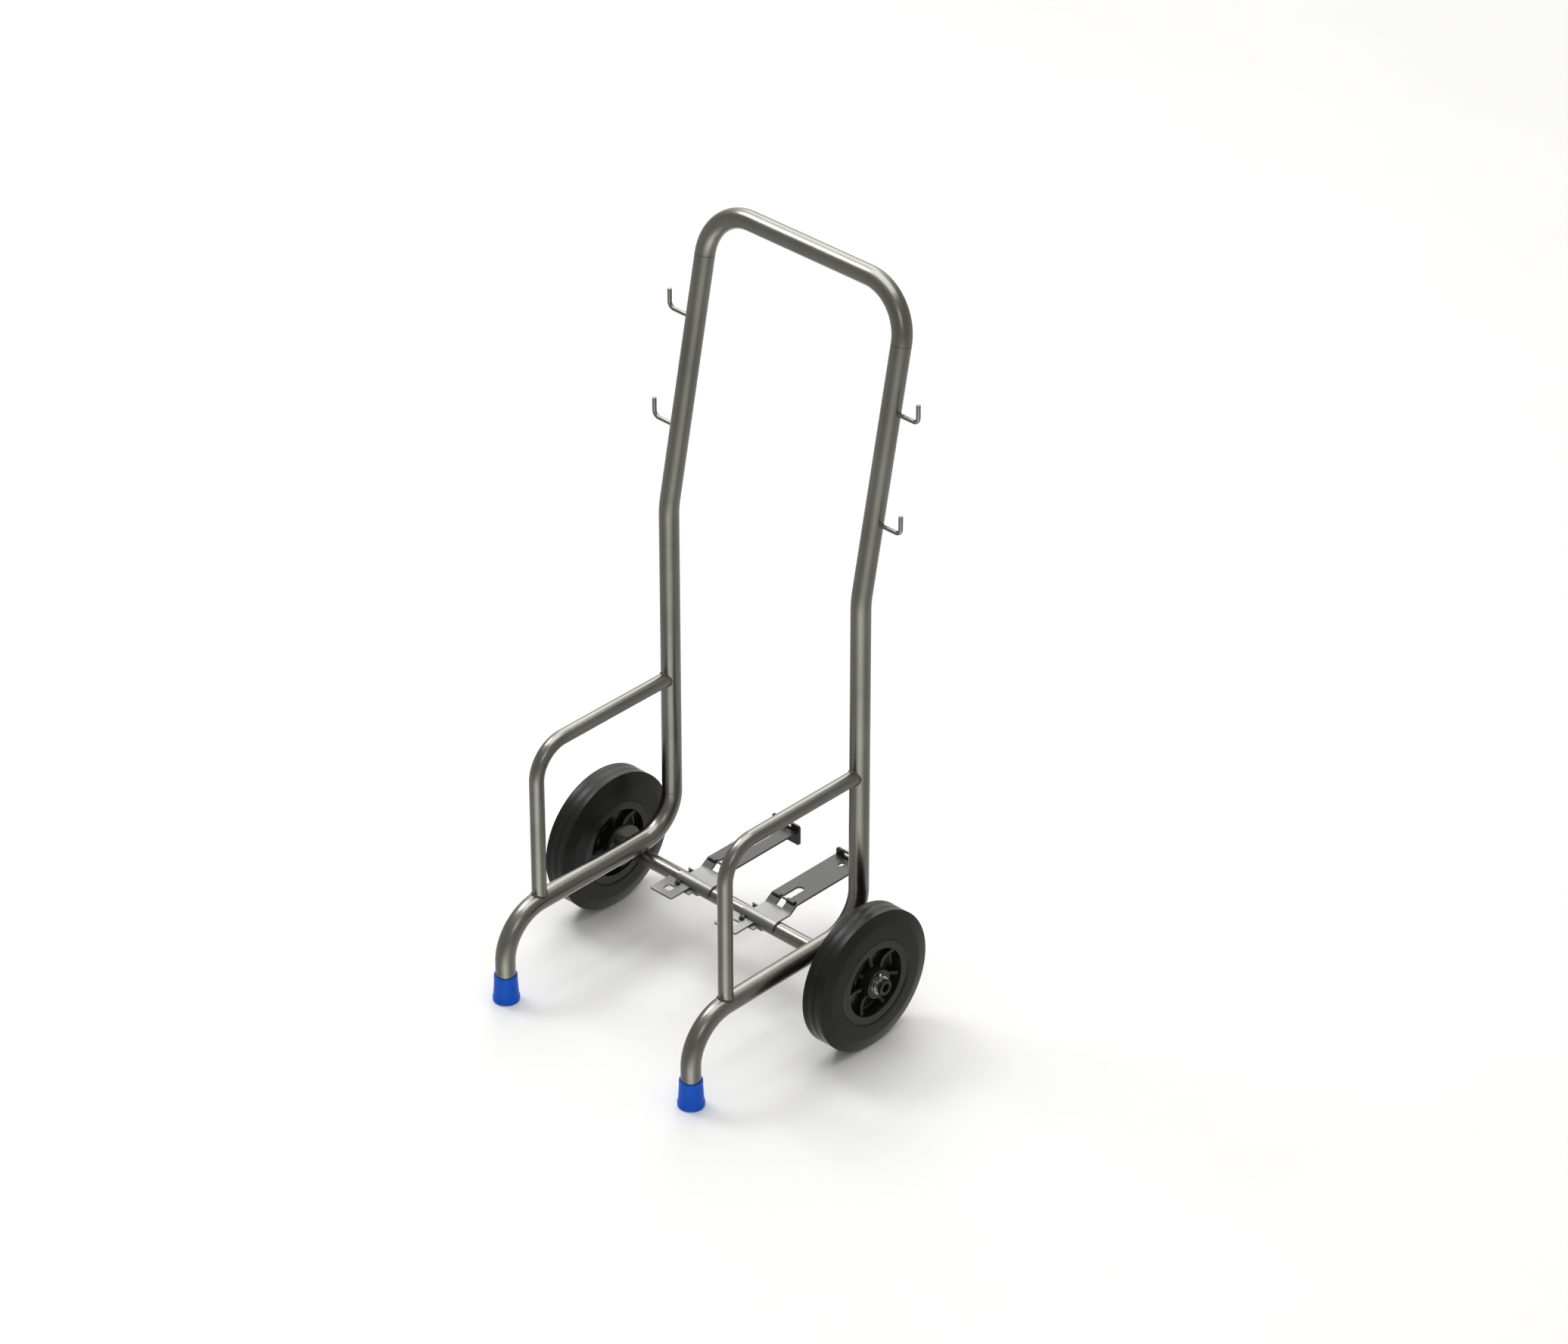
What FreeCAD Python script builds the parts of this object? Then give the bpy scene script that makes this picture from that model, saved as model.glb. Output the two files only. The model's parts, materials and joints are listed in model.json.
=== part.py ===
import FreeCAD, Part
import math
import os

# Two-wheel bent-tube luggage trolley, in millimetres.
# +X runs along the axle to the right, +Y from the feet back to the user, +Z up.
# The floor is z = 0, and the origin is under the middle of the whole trolley's box.
# Each shape is built about the axle's centre line and placed by AXLE_AT at the end.

V = FreeCAD.Vector
X_DIR, Y_DIR, Z_DIR = V(1, 0, 0), V(0, 1, 0), V(0, 0, 1)

# ---- fits ----
RUNNING_GAP = 0.05        # radial, for what turns or slides on a tube
END_PLAY = 0.3            # along an axis, between pieces that move past each other

# ---- wheels ----
WHEEL_D = 200.0
TREAD_HALF = 15.5         # half width of the cylindrical tread
SHOULDER_D = 166.0        # where the sloping shoulder meets the sidewall
SHOULDER_HALF = 20.0
SIDEWALL_HALF = 21.5      # half width at the rim
RIM_D = 120.0             # tyre seat on the hub
RECESS_D = 97.0           # inside of the rim ring
RIM_FACE_SET = 0.8        # rim ring stands back from the sidewall
WEB_T = 7.0
SPOKES = 7
SPOKE_T = 6.0
SPOKE_SET = 4.0           # spokes stand back from the rim face
BOSS_D = 41.0
BOSS_L = 52.0
BUSH_WALL = 2.4

# ---- frame tubes ----
TUBE_D = 26.9
TUBE_WALL = 1.5
FRAME_W = 338.0           # between the centre lines of the two sides
LEG_Y = 256.0             # leg centre line in front of the axle
UPRIGHT_Y = 56.6          # upright centre line behind the axle
KINK_Z = 615.5            # where the upright starts to lean back
LEAN_DEG = 11.5
HANDLE_L = 418.3          # from the kink to the crossbar, along the lean
LEG_BEND_R = 65.0
REAR_BEND_R = 56.0
KINK_BEND_R = 120.0
HANDLE_BEND_R = 68.0

HOOP_D = 20.0
HOOP_WALL = 2.5
HOOP_FOOT = 64.4          # hoop's post behind the leg
HOOP_Z = 356.4
HOOP_BEND_R = 48.0

HOOK_D = 6.0
HOOK_REACH = 46.0         # from the tube's centre line out to the hook's upstand
HOOK_RISE = 27.0
HOOK_BEND_R = 8.0
HOOK_TIP_CHAMFER = 0.75
HOOK_SPACING = 150.5
HOOK_LOW = 110.5          # lower hook above the kink, along the lean

# ---- axle ----
AXLE_D = 21.3
AXLE_WALL = 2.6
PLUG_HEAD_L = 5.5
PLUG_CHAMFER = 1.2
PLUG_SHANK_L = 22.0
PLUG_BORE_D = 12.0
PLUG_BORE_L = 20.0
FLANGE_D = 60.0
FLANGE_T = 3.0
FLANGE_GAP = 20.55        # from the frame tube's side to the fixed flange
STUB_L = 62.0             # axle tube beyond the flange's inner face
WASHER_T = 3.0            # loose thrust washer, on the left stub only
CLIP_L = 3.0
CLIP_WALL = 2.2
CLIP_EAR_H = 5.5          # the ear is as thick as the clip is long

# ---- feet ----
FERRULE_BASE_D = 36.0
FERRULE_BASE_H = 7.0
FERRULE_TOP_D = 31.2
FERRULE_WAIST_D = 33.2
FERRULE_H = 40.0
SOLE_T = 3.0              # rubber under the leg plug's spigot
SPIGOT_D = 15.0
SPIGOT_L = 6.0
PLUG_IN_LEG_L = 30.0

# ---- clamp-on brackets, two alike but for their slots and rear ends ----
SHEET_T = 3.0
STRAP_T = 2.0
BRACKET_X = {"left": -59.5, "right": 57.5}   # middle of each long plate
PLATE_W = 45.0
PLATE_END_Y = 157.0
STEP_REACH = 10.3         # from the clamped tube's side to the step
STEP_RUN = 13.0
STEP_RISE = 8.8
TAB_W = 39.0
TAB_OFFSET_X = -29.5      # middle of the front tab from the middle of the long plate
TAB_L = 37.3              # front tab's end from the clamped tube's side
TAB_CORNER_R = 1.5
SADDLE_W = 58.0
TAB_HOLE = 13.0
TAB_HOLE_CORNER_R = 3.5
TAB_HOLE_REACH = 20.8     # middle of the hole from the clamped tube's side
STRAP_W = 33.0
STRAP_OFFSET_X = -19.0
STRAP_FRONT_L = 11.8      # flanges of the strap, from the clamped tube's side
STRAP_REAR_L = 8.3
CLAMP_SCREW_D = 4.0
CLAMP_SCREW_REACH = 6.8   # screw's middle from the clamped tube's side
CLAMP_SCREW_TAIL = 1.5    # beyond the nut
CLAMP_SCREW_OFFSET_X = -28.0
NUT_AF = 7.0
NUT_H = 3.2
SCREW_HEAD_D = 7.0
SCREW_HEAD_H = 2.4
WINDOW_W = 12.0
WINDOW_SET = 2.5          # window's front edge behind the foot of the step
KEYHOLE_END_Y = 69.0
KNUCKLE_D = 7.0
KNUCKLE_L = 13.0
CROSS_PIN_D = 3.0
OVAL_W, OVAL_L, OVAL_Y = 7.0, 10.0, 143.0
LONG_SLOT_W, LONG_SLOT_START_Y, LONG_SLOT_END_Y = 7.0, 90.0, 132.0
SMALL_SLOT_W, SMALL_SLOT_START_Y, SMALL_SLOT_END_Y = 5.0, 136.5, 146.0
UPSTAND_H = 10.5
UPSTAND_CORNER_R = 4.0
REAR_SLOT_W, REAR_SLOT_L = 5.0, 20.0
END_PLATE_W = 50.0
END_PLATE_DROP = 17.0     # end plate below the long plate
END_BOLT_D = 5.0
END_BOLT_HEAD_D = 8.5
END_BOLT_HEAD_H = 3.2
END_BOLT_TAIL = 3.0

# ---- worked out from the sizes above ----
AXLE_R = AXLE_D / 2
HALF_W = FRAME_W / 2
SLIDE_R = AXLE_R + RUNNING_GAP
FLANGE_X = HALF_W + TUBE_D / 2 + FLANGE_GAP
STEP_START_Y = SLIDE_R + STEP_REACH
STEP_END_Y = STEP_START_Y + STEP_RUN
TAB_FRONT_Y = -(SLIDE_R + TAB_L)
TAB_HOLE_Y = -(SLIDE_R + TAB_HOLE_REACH)
STRAP_FRONT_Y = -(SLIDE_R + STRAP_FRONT_L)
STRAP_REAR_Y = SLIDE_R + STRAP_REAR_L
CLAMP_SCREW_Y = -(SLIDE_R + CLAMP_SCREW_REACH)
RUN_Z = AXLE_R + TUBE_D / 2               # runs lie on top of the axle tube
FLOOR_Z = -WHEEL_D / 2
LEG_END_Z = FLOOR_Z + SOLE_T + SPIGOT_L + END_PLAY
LEAN = math.radians(LEAN_DEG)
UP_LEAN = V(0, math.sin(LEAN), math.cos(LEAN))
KINK = KINK_Z + FLOOR_Z
AXLE_HALF_L = FLANGE_X + STUB_L
FRONT_REACH = LEG_Y + FERRULE_BASE_D / 2
HANDLE_REACH = UPRIGHT_Y + HANDLE_L * math.sin(LEAN) + TUBE_D / 2
BRACKET_REACH = PLATE_END_Y + SHEET_T + END_BOLT_HEAD_H
AXLE_AT = V(0, (FRONT_REACH - max(HANDLE_REACH, BRACKET_REACH)) / 2, -FLOOR_Z)
SADDLE_TOP = SLIDE_R + SHEET_T
PLATE_TOP = SADDLE_TOP + STEP_RISE
SADDLE_OFFSET_X = (PLATE_W - SADDLE_W) / 2    # right ends flush
CROSS_PIN_L = WINDOW_W + 2 * KNUCKLE_L   # flush with the knuckles
UPSTAND_TOP = PLATE_TOP + UPSTAND_H
REAR_SLOT_Z = PLATE_TOP + UPSTAND_H / 2
END_PLATE_X = BRACKET_X["left"] + (END_PLATE_W - PLATE_W) / 2
END_BOLT_X = END_PLATE_X - (REAR_SLOT_L - REAR_SLOT_W) / 2

NODES = {}


def add(name, shape):
    """Keep a finished sub-part under its node name."""
    NODES[name] = shape


def rod(d, length, at, axis):
    """Solid cylinder from a point along an axis."""
    return Part.makeCylinder(d / 2, length, at, axis)


def ring(outer_d, inner_d, length, at, axis):
    """Cylinder with a coaxial hole."""
    return rod(outer_d, length, at, axis).cut(rod(inner_d, length, at, axis))


def bent_path(points, radii):
    """Wire of straight runs through points, each inner corner rounded to its radius."""
    edges = []
    start = points[0]
    for before, corner, after, r in zip(points, points[1:], points[2:], radii):
        a = (before - corner).normalize()
        b = (after - corner).normalize()
        half = a.getAngle(b) / 2
        reach = r / math.tan(half)
        enter, leave = corner + a * reach, corner + b * reach
        centre = corner + (a + b).normalize() * (r / math.sin(half))
        middle = centre + (corner - centre).normalize() * r
        edges.append(Part.LineSegment(start, enter).toShape())
        edges.append(Part.Arc(enter, middle, leave).toShape())
        start = leave
    edges.append(Part.LineSegment(start, points[-1]).toShape())
    return Part.Wire(edges)


def sweep(path, d):
    """Solid of a circle of diameter d swept along a wire."""
    first = path.Edges[0]
    at = first.valueAt(first.FirstParameter)
    profile = Part.Wire(Part.makeCircle(d / 2, at, first.tangentAt(first.FirstParameter)))
    return path.makePipeShell([profile], True, False)


def bent_tube(points, radii, d, wall):
    """Outer solid of a bent tube, and the tube itself."""
    path = bent_path(points, radii)
    outer = sweep(path, d)
    return outer, outer.cut(sweep(path, d - 2 * wall))


def revolve_x(points):
    """Solid of revolution about the axle from (x, radius) corners."""
    corners = [V(x, 0, r) for x, r in points]
    face = Part.Face(Part.makePolygon(corners + corners[:1]))
    return face.revolve(V(0, 0, 0), X_DIR, 360)


def bar(x, y, z):
    """Box between two corners given as (low, high) pairs."""
    return Part.makeBox(x[1] - x[0], y[1] - y[0], z[1] - z[0], V(x[0], y[0], z[0]))


def span(middle, width):
    """(low, high) pair about a middle."""
    return middle - width / 2, middle + width / 2


def slot(width, start, end, x_mid, z, depth):
    """Round-ended slot cutter along Y, from start to end, going up through z..z+depth."""
    r = width / 2
    body = bar(span(x_mid, width), (start + r, end - r), (z, z + depth))
    for y in (start + r, end - r):
        body = body.fuse(rod(width, depth, V(x_mid, y, z), Z_DIR))
    return body.removeSplitter()


def edges_along(shape, direction, where):
    """Straight edges along a direction whose middle passes a test."""
    found = []
    for e in shape.Edges:
        if e.Curve.TypeId != "Part::GeomLine":
            continue
        if abs(abs(e.tangentAt(e.FirstParameter).dot(direction)) - 1) < 1e-6 and where(e.CenterOfMass):
            found.append(e)
    return found


def hexagon(across_flats, height, at, axis, bore_d):
    """Hexagon nut or head with a hole, standing on a point along +Y or +Z."""
    side = across_flats / math.sqrt(3)
    u = X_DIR
    w = axis.cross(u)
    turns = [math.radians(60 * i) for i in range(6)]
    corners = [at + u * (side * math.cos(t)) + w * (side * math.sin(t)) for t in turns]
    body = Part.Face(Part.makePolygon(corners + corners[:1])).extrude(axis * height)
    return body.cut(rod(bore_d, height, at, axis)) if bore_d else body


# ---- frame ----

def lean_point(side, along):
    """Point on a handle side's centre line, a distance above the kink."""
    return V(side * HALF_W, UPRIGHT_Y, KINK) + UP_LEAN * along


def main_tube():
    """One tube bent from foot to foot: leg, run, upright, handle side, crossbar and back."""
    left = [V(-HALF_W, -LEG_Y, LEG_END_Z), V(-HALF_W, -LEG_Y, RUN_Z), V(-HALF_W, UPRIGHT_Y, RUN_Z),
            lean_point(-1, 0), lean_point(-1, HANDLE_L)]
    right = [V(-p.x, p.y, p.z) for p in reversed(left)]
    bends = [LEG_BEND_R, REAR_BEND_R, KINK_BEND_R, HANDLE_BEND_R]
    return bent_tube(left + right, bends + bends[::-1], TUBE_D, TUBE_WALL)


def side_hoop(side, frame_outer):
    """Bent tube from the run up and back to the upright, coped onto both."""
    x, foot_y = side * HALF_W, -LEG_Y + HOOP_FOOT
    hoop_z = HOOP_Z + FLOOR_Z
    points = [V(x, foot_y, RUN_Z), V(x, foot_y, hoop_z), V(x, UPRIGHT_Y, hoop_z)]
    return bent_tube(points, [HOOP_BEND_R], HOOP_D, HOOP_WALL)[1].cut(frame_outer)


def hook(side, along, frame_outer):
    """Bent rod welded to the handle side, out and then up."""
    root = lean_point(side, along)
    out = root + X_DIR * (side * HOOK_REACH)
    path = bent_path([root, out, out + Z_DIR * HOOK_RISE], [HOOK_BEND_R])
    body = sweep(path, HOOK_D).cut(frame_outer)
    tip = [e for e in body.Edges if e.Curve.TypeId == "Part::GeomCircle" and
           abs(e.CenterOfMass.z - (out.z + HOOK_RISE)) < 1e-3]
    return body.makeChamfer(HOOK_TIP_CHAMFER, tip)


frame_outer, frame_tube = main_tube()
add("main_frame_tube", frame_tube)
for side, word in ((-1, "left"), (1, "right")):
    add(word + "_side_hoop", side_hoop(side, frame_outer))
    add(word + "_lower_hook", hook(side, HOOK_LOW, frame_outer))
    add(word + "_upper_hook", hook(side, HOOK_LOW + HOOK_SPACING, frame_outer))

# ---- axle ----
add("axle_tube", ring(AXLE_D, AXLE_D - 2 * AXLE_WALL, 2 * AXLE_HALF_L, V(-AXLE_HALF_L, 0, 0), X_DIR))


def end_plug(side):
    """Plastic plug in the end of the axle tube, with a blind bore."""
    axis = X_DIR * side
    end = V(side * AXLE_HALF_L, 0, 0)
    head = rod(AXLE_D, PLUG_HEAD_L, end, axis)
    rim = [e for e in head.Edges if abs(abs(e.CenterOfMass.x) - AXLE_HALF_L - PLUG_HEAD_L) < 1e-3]
    head = head.makeChamfer(PLUG_CHAMFER, rim)
    shank = rod(AXLE_D - 2 * AXLE_WALL, PLUG_SHANK_L, end - axis * PLUG_SHANK_L, axis)
    mouth = end + axis * (PLUG_HEAD_L - PLUG_BORE_L)
    return head.fuse(shank).removeSplitter().cut(rod(PLUG_BORE_D, PLUG_BORE_L, mouth, axis))


def retaining_clip(side, inner_x):
    """Push-on spring clip round the stub, with a small ear on top."""
    axis = X_DIR * side
    body = ring(2 * (SLIDE_R + CLIP_WALL), 2 * SLIDE_R, CLIP_L, V(side * inner_x, 0, 0), axis)
    ear_x = side * (inner_x + CLIP_L / 2)
    ear = rod(CLIP_L, CLIP_EAR_H + CLIP_WALL / 2, V(ear_x, 0, SLIDE_R + CLIP_WALL / 2), Z_DIR)
    gap = bar(span(ear_x, 2 * CLIP_L), span(0, AXLE_R), (-2 * AXLE_R, 0))
    return body.cut(gap).fuse(ear).removeSplitter()


def hub(x_mid):
    """Moulded hub: rim ring, web, spokes on both faces, and the boss."""
    rim_half = SIDEWALL_HALF - RIM_FACE_SET
    body = ring(RIM_D, RECESS_D, 2 * rim_half, V(x_mid - rim_half, 0, 0), X_DIR)
    body = body.fuse(rod(RECESS_D, WEB_T, V(x_mid - WEB_T / 2, 0, 0), X_DIR))
    body = body.fuse(rod(BOSS_D, BOSS_L, V(x_mid - BOSS_L / 2, 0, 0), X_DIR))
    spoke_half = rim_half - SPOKE_SET
    for i in range(SPOKES):
        spoke = bar((x_mid - spoke_half, x_mid + spoke_half), span(0, SPOKE_T), (0, RECESS_D / 2 + 1))
        spoke.rotate(V(0, 0, 0), X_DIR, 360.0 * i / SPOKES)
        body = body.fuse(spoke)
    bush_seat = 2 * (SLIDE_R + BUSH_WALL)
    return body.removeSplitter().cut(rod(bush_seat, BOSS_L, V(x_mid - BOSS_L / 2, 0, 0), X_DIR))


def tyre(x_mid):
    """Solid rubber tyre: flat tread, sloping shoulders and sidewalls down to the rim."""
    half = [(TREAD_HALF, WHEEL_D / 2), (SHOULDER_HALF, SHOULDER_D / 2), (SIDEWALL_HALF, RIM_D / 2)]
    outline = [(x_mid - x, r) for x, r in reversed(half)] + [(x_mid + x, r) for x, r in half]
    return revolve_x(outline)


for side, word in ((-1, "left"), (1, "right")):
    axis = X_DIR * side
    flange_at = V(side * FLANGE_X, 0, 0)
    add(word + "_inner_flange", ring(FLANGE_D, AXLE_D, FLANGE_T, flange_at, axis))
    add(word + "_axle_end_plug", end_plug(side))
    seat = FLANGE_X + FLANGE_T
    if word == "left":
        washer_x = seat + END_PLAY / 2
        washer = ring(FLANGE_D, 2 * SLIDE_R, WASHER_T, V(side * washer_x, 0, 0), axis)
        add("left_thrust_washer", washer)
        seat = washer_x + WASHER_T
    boss_x = seat + END_PLAY
    wheel_mid = side * (boss_x + BOSS_L / 2)
    add(word + "_wheel_hub", hub(wheel_mid))
    add(word + "_wheel_tyre", tyre(wheel_mid))
    add(word + "_wheel_bush", ring(2 * (SLIDE_R + BUSH_WALL), 2 * SLIDE_R, BOSS_L,
                                   V(wheel_mid - BOSS_L / 2, 0, 0), X_DIR))
    add(word + "_retaining_clip", retaining_clip(side, boss_x + BOSS_L + END_PLAY))


# ---- feet ----

def leg_plug(side):
    """Plastic plug in the leg's end, with a spigot below it."""
    end = V(side * HALF_W, -LEG_Y, LEG_END_Z)
    return rod(TUBE_D - 2 * TUBE_WALL, PLUG_IN_LEG_L, end, Z_DIR).fuse(
        rod(SPIGOT_D, SPIGOT_L, end, -Z_DIR)).removeSplitter()


def ferrule(side):
    """Rubber cup pushed onto the leg: lip, tapered wall and a wide foot."""
    foot = V(side * HALF_W, -LEG_Y, FLOOR_Z)
    outline = [(0, 0), (FERRULE_BASE_D / 2, 0), (FERRULE_BASE_D / 2, FERRULE_BASE_H),
               (FERRULE_WAIST_D / 2, FERRULE_BASE_H), (FERRULE_TOP_D / 2, FERRULE_H), (0, FERRULE_H)]
    corners = [foot + V(r, 0, z) for r, z in outline]
    body = Part.Face(Part.makePolygon(corners + corners[:1])).revolve(foot, Z_DIR, 360)
    cup_floor = V(foot.x, foot.y, LEG_END_Z - END_PLAY)
    cup = rod(TUBE_D + 2 * RUNNING_GAP, FERRULE_H, cup_floor, Z_DIR)
    socket = rod(SPIGOT_D + 2 * END_PLAY, FERRULE_H, V(foot.x, foot.y, FLOOR_Z + SOLE_T), Z_DIR)
    return body.cut(cup).cut(socket)


for side, word in ((-1, "left"), (1, "right")):
    add(word + "_leg_plug", leg_plug(side))
    add(word + "_foot_ferrule", ferrule(side))


# ---- brackets ----

def saddle(x_mid):
    """Quarter of the sheet that wraps the tube from the front tab to the top."""
    pair = span(x_mid, SADDLE_W)
    full = ring(2 * SADDLE_TOP, 2 * SLIDE_R, SADDLE_W, V(pair[0], 0, 0), X_DIR)
    return full.common(bar(pair, (-2 * SADDLE_TOP, 0), (0, 2 * SADDLE_TOP)))


def folded_plate(pair):
    """Rear plate, step and long plate as one folded sheet between two X faces."""
    low, high = SLIDE_R, SADDLE_TOP
    run, rise = STEP_END_Y - STEP_START_Y, STEP_RISE
    tilt = math.atan2(rise, run)
    shift = SHEET_T * math.tan(tilt / 2)
    points = [(0, low), (STEP_START_Y + shift, low), (STEP_END_Y + shift, low + rise),
              (PLATE_END_Y, low + rise), (PLATE_END_Y, high + rise), (STEP_END_Y, high + rise),
              (STEP_START_Y, high), (0, high)]
    corners = [V(pair[0], y, z) for y, z in points]
    face = Part.Face(Part.makePolygon(corners + corners[:1]))
    return face.extrude(X_DIR * (pair[1] - pair[0]))


def tab_hole(x_mid):
    """Rounded-square hole cutter for the front tab."""
    cutter = bar(span(x_mid, TAB_HOLE), span(TAB_HOLE_Y, TAB_HOLE), (-SHEET_T, 2 * SHEET_T))
    return cutter.makeFillet(TAB_HOLE_CORNER_R, edges_along(cutter, Z_DIR, lambda c: True))


def bracket(word):
    """Clamp-on bracket: front tab, saddle, stepped long plate with its slots, and knuckles."""
    mid = BRACKET_X[word]
    plate = span(mid, PLATE_W)
    tab_mid = mid + TAB_OFFSET_X
    body = bar(span(tab_mid, TAB_W), (TAB_FRONT_Y, -SLIDE_R), (0, SHEET_T))
    body = body.makeFillet(TAB_CORNER_R, edges_along(body, Z_DIR, lambda c: c.y < TAB_FRONT_Y / 2))
    body = body.cut(rod(2 * SLIDE_R, PLATE_W * 4, V(mid - PLATE_W * 2, 0, 0), X_DIR))
    body = body.fuse([saddle(mid + SADDLE_OFFSET_X), folded_plate(plate)])
    step_top = V(mid, STEP_END_Y, PLATE_TOP)
    for side in (-1, 1):
        inner = mid + side * WINDOW_W / 2
        at = V(min(inner, inner + side * KNUCKLE_L), step_top.y, step_top.z)
        body = body.fuse(rod(KNUCKLE_D, KNUCKLE_L, at, X_DIR))
    body = body.removeSplitter()
    drop = 4 * SHEET_T
    body = body.cut(slot(WINDOW_W, STEP_END_Y, KEYHOLE_END_Y, mid, PLATE_TOP - drop, 2 * drop))
    body = body.cut(bar(span(mid, WINDOW_W), (STEP_START_Y + WINDOW_SET, STEP_END_Y + WINDOW_W),
                        (SLIDE_R - drop, PLATE_TOP + drop)))
    body = body.cut(tab_hole(tab_mid))
    screw_at = V(mid + CLAMP_SCREW_OFFSET_X, CLAMP_SCREW_Y, -SHEET_T)
    body = body.cut(rod(CLAMP_SCREW_D, 3 * SHEET_T, screw_at, Z_DIR))
    body = body.cut(rod(CROSS_PIN_D, CROSS_PIN_L, step_top - X_DIR * (CROSS_PIN_L / 2), X_DIR))
    return body


def rear_slot(x_mid):
    """Round-ended slot cutter along X through the upright sheet at the rear."""
    start, depth = PLATE_END_Y - SHEET_T, 3 * SHEET_T
    half = (REAR_SLOT_L - REAR_SLOT_W) / 2
    body = bar(span(x_mid, 2 * half), (start, start + depth), span(REAR_SLOT_Z, REAR_SLOT_W))
    for x in (x_mid - half, x_mid + half):
        body = body.fuse(rod(REAR_SLOT_W, depth, V(x, start, REAR_SLOT_Z), Y_DIR))
    return body.removeSplitter()


def right_bracket():
    """Right bracket: an oval hole and an upstand with a slot at the rear."""
    mid = BRACKET_X["right"]
    x = span(mid, PLATE_W)
    upstand = bar(x, (PLATE_END_Y, PLATE_END_Y + SHEET_T), (PLATE_TOP - SHEET_T, UPSTAND_TOP))
    top_corners = edges_along(upstand, Y_DIR, lambda c: c.z > PLATE_TOP)
    upstand = upstand.makeFillet(UPSTAND_CORNER_R, top_corners).cut(rear_slot(mid))
    body = bracket("right").fuse(upstand).removeSplitter()
    return body.cut(slot(OVAL_W, OVAL_Y - OVAL_L / 2, OVAL_Y + OVAL_L / 2, mid,
                         PLATE_TOP - 2 * SHEET_T, 3 * SHEET_T))


def left_bracket():
    """Left bracket: a long and a short slot in the long plate."""
    mid = BRACKET_X["left"]
    body = bracket("left")
    for width, start, end in ((LONG_SLOT_W, LONG_SLOT_START_Y, LONG_SLOT_END_Y),
                              (SMALL_SLOT_W, SMALL_SLOT_START_Y, SMALL_SLOT_END_Y)):
        body = body.cut(slot(width, start, end, mid, PLATE_TOP - 2 * SHEET_T, 3 * SHEET_T))
    return body


def left_end_plate():
    """Upright plate across the left bracket's rear end, slotted above and plain below."""
    z = (PLATE_TOP - SHEET_T - END_PLATE_DROP, UPSTAND_TOP)
    body = bar(span(END_PLATE_X, END_PLATE_W), (PLATE_END_Y, PLATE_END_Y + SHEET_T), z)
    body = body.makeFillet(UPSTAND_CORNER_R, edges_along(body, Y_DIR, lambda c: True))
    return body.cut(rear_slot(END_PLATE_X))


def left_end_bolt():
    """Round-headed bolt through the end plate's slot."""
    start = V(END_BOLT_X, PLATE_END_Y - END_BOLT_TAIL, REAR_SLOT_Z)
    shank = rod(END_BOLT_D, END_BOLT_TAIL + SHEET_T, start, Y_DIR)
    head_at = V(END_BOLT_X, PLATE_END_Y + SHEET_T, REAR_SLOT_Z)
    return shank.fuse(rod(END_BOLT_HEAD_D, END_BOLT_HEAD_H, head_at, Y_DIR)).removeSplitter()


def strap(word):
    """Lower half of the clamp: front flange, half round and a flange under the rear plate."""
    mid = BRACKET_X[word] + STRAP_OFFSET_X
    pair = span(mid, STRAP_W)
    outer = SLIDE_R + STRAP_T
    half = ring(2 * outer, 2 * SLIDE_R, STRAP_W, V(pair[0], 0, 0), X_DIR)
    half = half.common(bar(pair, (-2 * outer, 2 * outer), (-2 * outer, 0)))
    front = bar(pair, (STRAP_FRONT_Y, -SLIDE_R), (-STRAP_T, 0))
    rear_wall = bar(pair, (SLIDE_R, outer), (0, SLIDE_R))
    rear = bar((max(pair[0], BRACKET_X[word] - PLATE_W / 2), pair[1]), (SLIDE_R, STRAP_REAR_Y),
               (SLIDE_R - STRAP_T, SLIDE_R))
    body = half.fuse([front, rear_wall, rear]).removeSplitter()
    body = body.cut(rod(2 * SLIDE_R, STRAP_W, V(pair[0], 0, 0), X_DIR))
    screw_at = V(BRACKET_X[word] + CLAMP_SCREW_OFFSET_X, CLAMP_SCREW_Y, -2 * STRAP_T)
    return body.cut(rod(CLAMP_SCREW_D, 3 * STRAP_T, screw_at, Z_DIR))


def clamp_screw(word):
    """Round-headed screw up through the strap and the tab."""
    at = V(BRACKET_X[word] + CLAMP_SCREW_OFFSET_X, CLAMP_SCREW_Y, -STRAP_T)
    shank = rod(CLAMP_SCREW_D, STRAP_T + SHEET_T + NUT_H + CLAMP_SCREW_TAIL, at, Z_DIR)
    return shank.fuse(rod(SCREW_HEAD_D, SCREW_HEAD_H, at, -Z_DIR)).removeSplitter()


def clamp_nut(word):
    """Hexagon nut on top of the tab."""
    at = V(BRACKET_X[word] + CLAMP_SCREW_OFFSET_X, CLAMP_SCREW_Y, SHEET_T)
    return hexagon(NUT_AF, NUT_H, at, Z_DIR, CLAMP_SCREW_D)


def cross_pin(word):
    """Thin pin through the two knuckles, across the window."""
    at = V(BRACKET_X[word] - CROSS_PIN_L / 2, STEP_END_Y, PLATE_TOP)
    return rod(CROSS_PIN_D, CROSS_PIN_L, at, X_DIR)


add("left_bracket", left_bracket())
add("right_bracket", right_bracket())
add("left_end_plate", left_end_plate())
add("left_end_bolt", left_end_bolt())
for word in ("left", "right"):
    add(word + "_bracket_strap", strap(word))
    add(word + "_clamp_screw", clamp_screw(word))
    add(word + "_clamp_nut", clamp_nut(word))
    add(word + "_cross_pin", cross_pin(word))

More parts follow.
